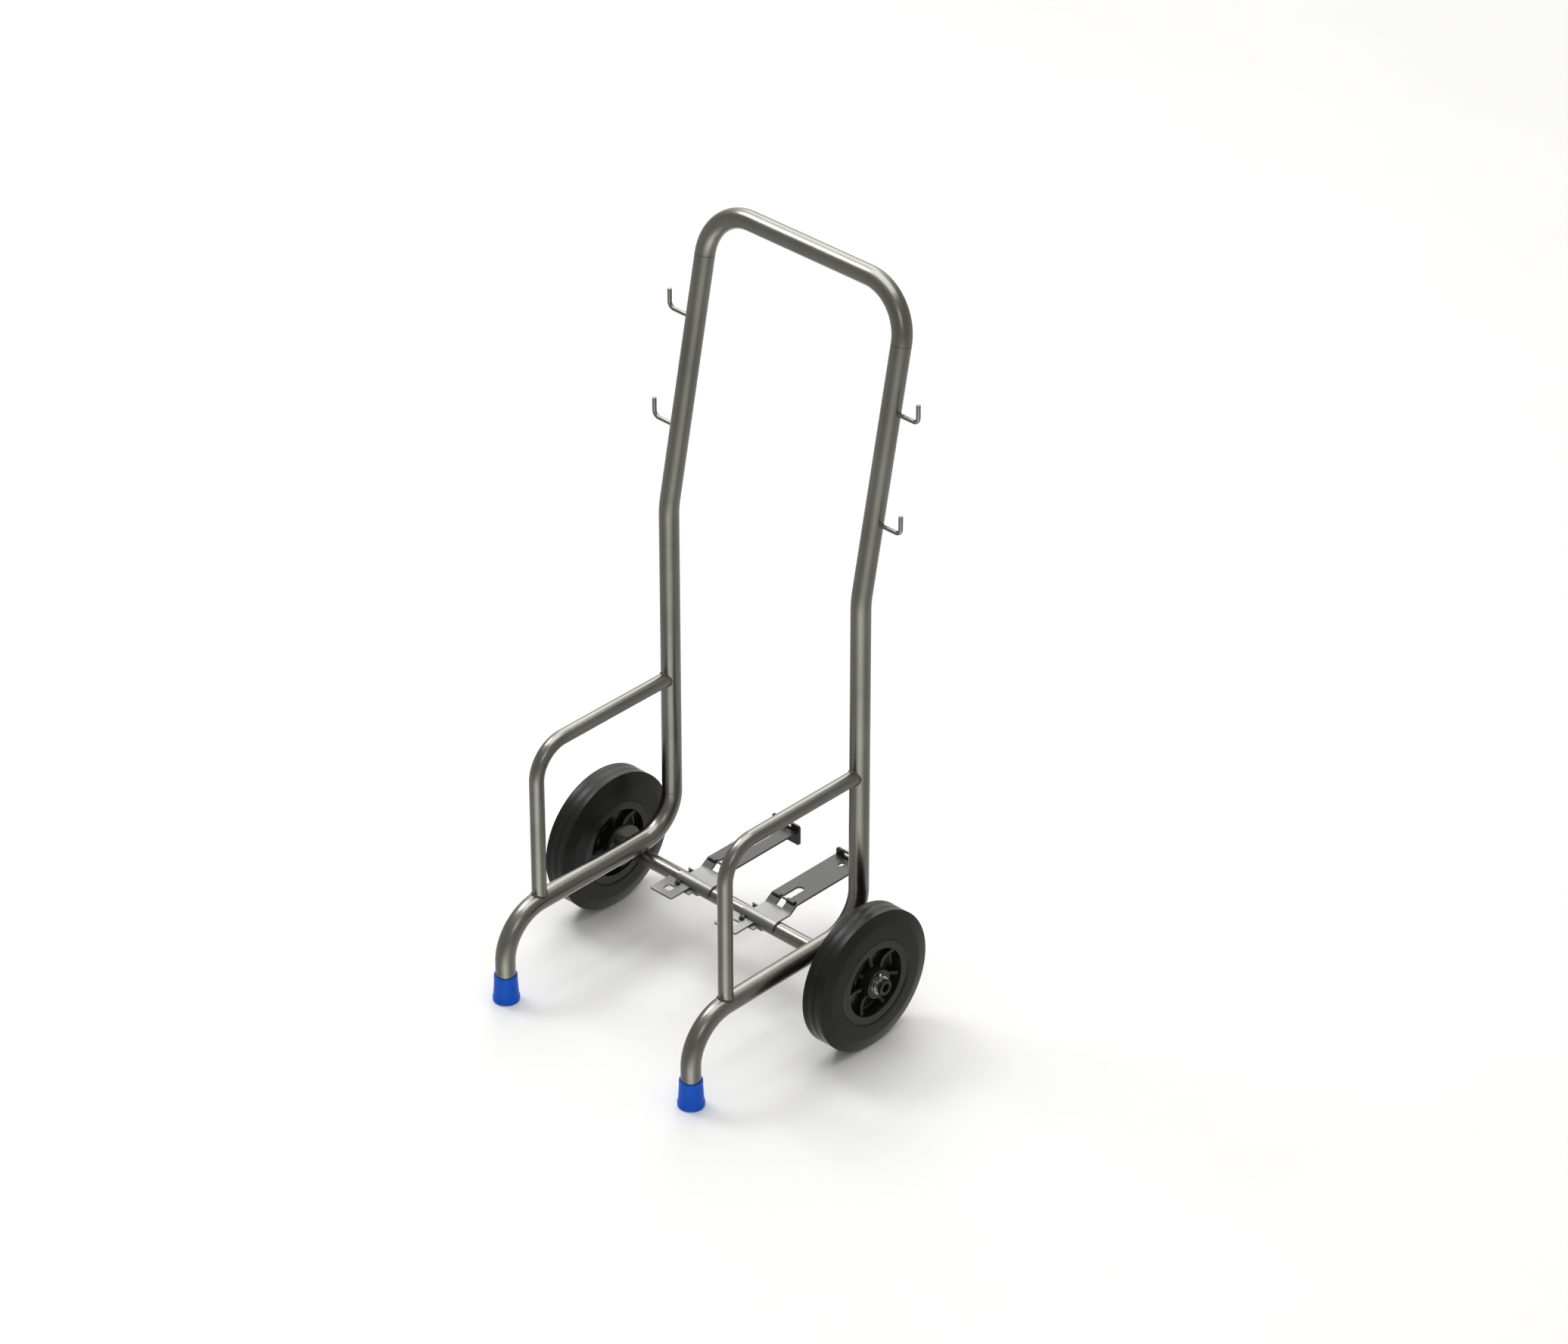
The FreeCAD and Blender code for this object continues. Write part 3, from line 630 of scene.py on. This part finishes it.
def tyre(word):
    """Flat tread with edge ridges and two fine grooves, sloping shoulders and a groove at the rim."""
    node = word + "_wheel_tyre"
    groove_x, groove_half, groove_depth = 6 * MM, 0.3 * MM, 0.12 * MM
    low = TREAD_R - 0.25 * MM
    seat_half = RIM_HALF - 0.7 * MM
    half = [(groove_x - groove_half, low, 0), (groove_x, low - groove_depth, 0),
            (groove_x + groove_half, low, 0), (TREAD_HALF - 1.6 * MM, low, 0.3 * MM),
            (TREAD_HALF - 1.1 * MM, TREAD_R, 0.3 * MM), (TREAD_HALF, TREAD_R, 0.5 * MM),
            (SHOULDER_HALF, SHOULDER_R, 4 * MM), (SIDE_HALF, RIM_R + 2.6 * MM, 0.6 * MM),
            (seat_half, RIM_R + 1.2 * MM, 0.3 * MM), (seat_half, RIM_R, 0)]
    points = both_faces(half)
    centre = Vector((middle(node).x, AXLE.y, AXLE.z))
    turned(node, [p[:2] for p in points], [p[2] for p in points], centre, X_DIR, sides=160)


def hub_ribs(centre):
    """Ribs through both faces: flat caps that dip between boss and rim, with draft."""
    verts, faces = [], []
    stations = 12
    inner, outer = BOSS_R - 5 * MM, RECESS_R + 3 * MM    # both ends are buried
    for angle in circle(SPOKES):
        turn = Matrix.Rotation(angle, 3, "X")
        rings = []
        for k in range(stations + 1):
            s = k / stations
            r = inner + (outer - inner) * s
            cap = RIB_CAP - RIB_DIP * math.sin(math.pi * min(1, s * 1.05))
            one_side = [(-cap, RIB_HALF_W), (0, RIB_ROOT_HALF_W), (cap, RIB_HALF_W)]
            loop = one_side + [(x, -w) for x, w in reversed(one_side)]
            rings.append(list(range(len(verts), len(verts) + len(loop))))
            for x, w in loop:
                verts.append(centre + turn @ Vector((x, w, r)))
        faces += join_rings(rings, False) + [tuple(rings[0]), tuple(rings[-1])]
    return make_object("ribs", verts, faces)


def hub(word):
    """Moulded hub: rim ring, dished web, capped ribs and a proud boss."""
    node = word + "_wheel_hub"
    centre = Vector((middle(node).x, AXLE.y, AXLE.z))
    half = [(BOSS_HALF, BUSH_SEAT_R, 0.3 * MM), (BOSS_HALF, BOSS_R, 1.2 * MM),
            (WEB_HALF + 1 * MM, BOSS_R + 1.2 * MM, 3 * MM), (WEB_HALF, RECESS_R - 2 * MM, 3 * MM),
            (RIM_HALF, RECESS_R, 1.1 * MM), (RIM_HALF, RIM_R - 0.8 * MM, 0.3 * MM),
            (RIM_HALF - 0.8 * MM, RIM_R, 0)]
    points = both_faces(half)
    outline = soften([p[:2] for p in points], [p[2] for p in points])
    body = lathe(node + "_fine", outline, centre, X_DIR, sides=128)
    ribs = hub_ribs(centre)
    union = body.modifiers.new("ribs", "BOOLEAN")
    union.operation = "UNION"
    union.solver = "EXACT"
    union.object = ribs
    apply_modifiers(body)
    bpy.data.objects.remove(ribs)
    bevel = body.modifiers.new("edges", "BEVEL")
    bevel.width = 0.45 * MM
    bevel.segments = 2
    bevel.limit_method = "ANGLE"
    bevel.angle_limit = math.radians(38)
    apply_modifiers(body)
    body.data.shade_smooth()
    body.data.set_sharp_from_angle(angle=math.radians(35))
    flatten_shading(body)
    stand_for(body, node)


# ---- feet ----

SPIGOT_R = 15 * MM / 2


def foot(side):
    """Blue ferrule with a flared foot, a moulding line, a waist and a rounded lip."""
    node = SIDES[side] + "_foot_ferrule"
    low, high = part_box(node)
    at = Vector((FOOT[side].x, FOOT[side].y, low.z))
    height = high.z - low.z
    base_r, base_h = (high.x - low.x) / 2, 7 * MM
    neck_r, waist_r, lip_r = 17.1 * MM, 16.2 * MM, 15.75 * MM
    cup_r, cup_floor = TUBE_R + RUNNING_GAP, LEG_END_Z - 0.3 * MM - low.z
    socket_r, sole = SPIGOT_R + 0.3 * MM, 3 * MM
    line, line_half, line_depth = 3.4 * MM, 0.35 * MM, 0.4 * MM
    # height, radius and rounding, from the sole's middle up the outside and down the bore
    outline = [(0, 0, 0), (0, base_r - 1.2 * MM, 0.3), (1.0 * MM, base_r, 0.6),
               (line - line_half, base_r, 0.1), (line, base_r - line_depth, 0),
               (line + line_half, base_r, 0.1), (base_h - 0.4 * MM, base_r, 0.9),
               (base_h + 1.2 * MM, neck_r, 1.2), (height * 0.55, waist_r, 8),
               (height - 4.2 * MM, lip_r - 0.2 * MM, 1), (height - 3.6 * MM, lip_r, 0.5),
               (height, lip_r - 0.15 * MM, 1.0), (height, cup_r, 0.6), (cup_floor, cup_r, 0.4),
               (cup_floor, socket_r, 0.3), (sole, socket_r, 0.5), (sole, 0, 0)]
    profile = [(a, r) for a, r, s in outline]
    turned(node, profile, [s * MM for a, r, s in outline], at, Z_DIR, closed=False)


def leg_plug(side):
    """Milky plug in the leg's end with a chamfered spigot below."""
    node = SIDES[side] + "_leg_plug"
    low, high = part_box(node)
    at = Vector((FOOT[side].x, FOOT[side].y, LEG_END_Z))
    spigot, length = LEG_END_Z - low.z, high.z - LEG_END_Z
    fit_r = TUBE_R - TUBE_WALL
    profile = [(-spigot, 0), (-spigot, SPIGOT_R), (0, SPIGOT_R), (0, fit_r), (length, fit_r), (length, 0)]
    radii = [0, 1.0 * MM, 0.5 * MM, 0.2 * MM, 0.8 * MM, 0]
    turned(node, profile, radii, at, Z_DIR, closed=False)


# ---- small fasteners ----

M4_R = 4 * MM / 2
THREAD_PITCH, THREAD_DEPTH = 0.7 * MM, 0.35 * MM


def clamp_nut(word):
    """Hexagon nut with both faces chamfered and its bore."""
    node = word + "_clamp_nut"
    low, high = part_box(node)
    height = high.z - low.z
    base = Vector((middle(node).x, middle(node).y, low.z))
    flat_r, chamfer = 7 * MM / 2, 0.55 * MM
    face_r = 1.03 * flat_r
    levels = [(0, M4_R), (0, face_r), (chamfer, math.inf), (height - chamfer, math.inf),
              (height, face_r), (height, M4_R)]
    sixth = math.pi / 3

    def hexagon(t):
        return flat_r / math.cos(t % sixth - sixth / 2)

    verts = []
    rings = [add_ring(verts, base + Z_DIR * h, Z_DIR, lambda t: min(r, hexagon(t)), 72) for h, r in levels]
    stand_for(make_object(node + "_fine", verts, join_rings(rings, True), sharp_deg=24), node)


def thread_radius(h, t):
    """Radius of the screw's thread at a height and angle."""
    phase = (h / THREAD_PITCH - t / (2 * math.pi)) % 1.0
    return M4_R - THREAD_DEPTH * abs(2 * phase - 1)


def clamp_screw(word):
    """Round-headed screw with a visible thread above the nut."""
    node = word + "_clamp_screw"
    low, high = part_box(node)
    length = high.z - low.z
    base = Vector((middle(node).x, middle(node).y, low.z))
    head_r, head_h = 3.5 * MM, 2.4 * MM
    thread_from, tip_from = head_h + 3 * MM, length - 0.5 * MM
    shank_steps = 48
    heights = [0, 0.25 * MM, 0.8 * MM, 1.6 * MM, head_h, head_h + 0.01 * MM]
    heights += [head_h + (length - head_h) * (i + 1) / shank_steps for i in range(shank_steps)]

    def radius_at(h, t):
        if h <= head_h:
            dome = min(1.0, h / head_h * 1.15)
            return head_r * (0.62 + 0.38 * math.sin(math.pi / 2 * dome))
        radius = M4_R if h < thread_from else thread_radius(h, t)
        return radius - 0.8 * max(0.0, h - tip_from)

    verts = []
    rings = [add_ring(verts, base + Z_DIR * h, Z_DIR, lambda t: radius_at(h, t), 36) for h in heights]
    faces = join_rings(rings, False) + [tuple(rings[0]), tuple(rings[-1])]
    stand_for(make_object(node + "_fine", verts, faces, sharp_deg=28), node)


def end_bolt():
    """Round-headed bolt with a round socket, through the left end plate."""
    node = "left_end_bolt"
    low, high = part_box(node)
    base = Vector((middle(node).x, low.y, middle(node).z))
    length = high.y - low.y
    head_h, head_r, shank_r = 3.2 * MM, 4.25 * MM, 2.5 * MM
    socket_r, socket_floor = 1.5 * MM, length - 1.5 * MM
    neck = length - head_h
    profile = [(0, 0), (0, shank_r), (neck, shank_r), (neck, head_r),
               (neck + head_h * 0.5, head_r * 0.97), (length, head_r * 0.55), (length, socket_r),
               (socket_floor, socket_r), (socket_floor, 0)]
    radii = [0, 0.5 * MM, 0, 0.3 * MM, 1.2 * MM, 0.8 * MM, 0.1 * MM, 0, 0]
    turned(node, profile, radii, base, Y_DIR, closed=False, sides=48)


def cross_pin(word):
    """Thin round bar through the knuckles, with rounded ends."""
    node = word + "_cross_pin"
    low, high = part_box(node)
    half = (high.x - low.x) / 2
    r = (high.z - low.z) / 2
    profile = [(-half, 0), (-half, r), (half, r), (half, 0)]
    turned(node, profile, [0, 0.6 * MM, 0.6 * MM, 0], middle(node), X_DIR, closed=False, sides=40)


# ---- build ----

main_tube()
for side in SIDES:
    side_hoop(side)
    crossing_weld(side)
    flange_weld(side)
    seams(side)
    for level in HOOKS_AT:
        hook(side, level)
    end_plug(side)
    foot(side)
    leg_plug(side)

plain_ring("axle_tube", AXLE_R, AXLE_R - AXLE_WALL, edge=0.4 * MM)
for word in SIDES.values():
    plain_ring(word + "_inner_flange", FLANGE_R, AXLE_R, edge=0.5 * MM)
plain_ring("left_thrust_washer", FLANGE_R, AXLE_R + RUNNING_GAP, edge=0.5 * MM)

for word in SIDES.values():
    tyre(word)
    hub(word)
    plain_ring(word + "_wheel_bush", BUSH_SEAT_R, AXLE_R + RUNNING_GAP, edge=0.4 * MM)
    refined(word + "_retaining_clip", bevel=0.25 * MM)
    refined(word + "_bracket", bevel=0.3 * MM)
    refined(word + "_bracket_strap", bevel=0.25 * MM)
    clamp_nut(word)
    clamp_screw(word)
    cross_pin(word)
refined("left_end_plate", bevel=0.3 * MM)
end_bolt()


# ---- stage, light and camera ----

CAMERA_AZIMUTH, CAMERA_ELEVATION = math.radians(43.56), math.radians(32.5)
CAMERA_AT = AXLE + Vector((4.7516, -4.9027, 4.7127))
PALE = (0.93, 0.93, 0.93, 1)
WHITE = (1, 1, 1, 1)
WARM_WHITE = (1.0, 0.99, 0.965, 1)
FAR_GLOW = 0.42        # emission of the far floor, so that it doesn't go grey
ROOM_GLOW = 0.3
# bright patches: degrees round from the camera's azimuth, degrees up, sharpness, strength
ROOM_PATCHES = ((-2, -44, 8, 1.5), (180, 36, 9, 1.8), (180, -38, 6, 0.8), (100, -30, 4, 0.2),
                (-100, -30, 4, 0.15), (0, 90, 5, 0.35))
SOFTBOX_TARGET = Vector((0, 0, 0.5))
# place, side and power
SOFTBOXES = {
    "key": ((-3.3, -0.4, 4.9), 1.8, 95),
    "back": ((-2.9, 3.4, 3.7), 2.6, 20),
    "fill": ((3.4, -3.0, 3.4), 2.0, 16),
    "top": ((0.0, 0.6, 5.0), 4.0, 110),
}


def floor():
    """Plain floor that stays pale far off and goes with the left foot.

    Metal reflects the studio's room and not the floor.
    """
    size = 60.0
    verts = [Vector((x, y, 0)) for x, y in ((-size, -size), (size, -size), (size, size), (-size, size))]
    obj = make_object("floor", verts, [(0, 1, 2, 3)])
    mat, nodes, links, shader, coords = tree_of("pale_floor")
    tone = to_range(nodes, links, noise(nodes, links, coords, 3), 0, 1)
    links.new(blend_colours(nodes, links, tone, (0.86, 0.86, 0.86), (0.88, 0.88, 0.88)),
              shader.inputs["Base Color"])
    away = nodes.new("ShaderNodeVectorMath")
    away.operation = "LENGTH"
    links.new(coords, away.inputs[0])
    near, far = 3.0, 8.0
    glow = to_range(nodes, links, away.outputs["Value"], 0, FAR_GLOW, near, far)
    links.new(glow, shader.inputs["Emission Strength"])
    shader.inputs["Emission Color"].default_value = WHITE
    shader.inputs["Roughness"].default_value = 0.9
    shader.inputs["Specular IOR Level"].default_value = 0.1
    obj.data.materials.append(mat)
    obj.visible_glossy = False
    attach(obj, "left_foot")


def backdrop():
    """Pale wall far behind, seen only by the camera, so that low views have a plain background."""
    radius, height = 55.0, 60.0
    centre = Vector((0, 0, -1))
    wall_and_roof = [(0, radius), (height, radius), (height, 0)]
    obj = lathe("backdrop", wall_and_roof, centre, Z_DIR, closed=False, sides=64)
    mat = bpy.data.materials.new("pale_wall")
    mat.use_nodes = True
    nodes, links = mat.node_tree.nodes, mat.node_tree.links
    nodes.remove(nodes["Principled BSDF"])
    glow = nodes.new("ShaderNodeEmission")
    glow.inputs["Color"].default_value = PALE
    links.new(glow.outputs["Emission"], nodes["Material Output"].inputs["Surface"])
    obj.data.materials.append(mat)
    for ray in ("glossy", "diffuse", "transmission", "volume_scatter", "shadow"):
        setattr(obj, "visible_" + ray, False)


def softbox(name, at, side, power):
    """Square area light aimed at the middle of the trolley."""
    light = bpy.data.lights.new(name, "AREA")
    light.shape = "RECTANGLE"
    light.size, light.size_y = side, side
    light.energy = power
    obj = bpy.data.objects.new(name, light)
    obj.location = at
    obj.rotation_euler = (SOFTBOX_TARGET - Vector(at)).to_track_quat("-Z", "Y").to_euler()
    bpy.context.scene.collection.objects.link(obj)


def room():
    """Dim room with soft bright patches, which the metal reflects."""
    world = bpy.data.worlds.new("studio")
    world.use_nodes = True
    nodes, links = world.node_tree.nodes, world.node_tree.links
    coords = nodes.new("ShaderNodeTexCoord").outputs["Generated"]

    def math_node(kind, a, b=None):
        node = nodes.new("ShaderNodeMath")
        node.operation = kind
        for socket, value in zip(node.inputs, (a, b)):
            if isinstance(value, (int, float)):
                socket.default_value = value
            elif value is not None:
                links.new(value, socket)
        return node.outputs["Value"]

    def lobe(direction, sharpness, strength):
        """Soft bright patch of the room round a direction."""
        dot = nodes.new("ShaderNodeVectorMath")
        dot.operation = "DOT_PRODUCT"
        dot.inputs[1].default_value = direction
        links.new(coords, dot.inputs[0])
        facing = math_node("MAXIMUM", dot.outputs["Value"], 0.0)
        return math_node("MULTIPLY", math_node("POWER", facing, sharpness), strength)

    total = ROOM_GLOW
    for turn_deg, lift_deg, sharpness, strength in ROOM_PATCHES:
        turn, lift = CAMERA_AZIMUTH + math.radians(turn_deg), math.radians(lift_deg)
        level = math.cos(lift)
        towards = Vector((math.sin(turn) * level, -math.cos(turn) * level, math.sin(lift)))
        total = math_node("ADD", lobe(towards, sharpness, strength), total)
    background = nodes["Background"]
    background.inputs["Color"].default_value = WARM_WHITE
    links.new(total, background.inputs["Strength"])
    bpy.context.scene.world = world


def camera():
    """Long lens from the front right, looking down."""
    data = bpy.data.cameras.new("camera")
    data.sensor_width = 36.0
    data.lens = 145.2
    data.clip_end = 200
    obj = bpy.data.objects.new("camera", data)
    obj.location = CAMERA_AT
    obj.rotation_euler = (math.pi / 2 - CAMERA_ELEVATION, 0, CAMERA_AZIMUTH)
    bpy.context.scene.collection.objects.link(obj)
    bpy.context.scene.camera = obj


floor()
backdrop()
room()
for name, (at, side, power) in SOFTBOXES.items():
    softbox(name, at, side, power)
camera()
bpy.context.scene.view_settings.view_transform = "Standard"

bpy.context.view_layer.update()
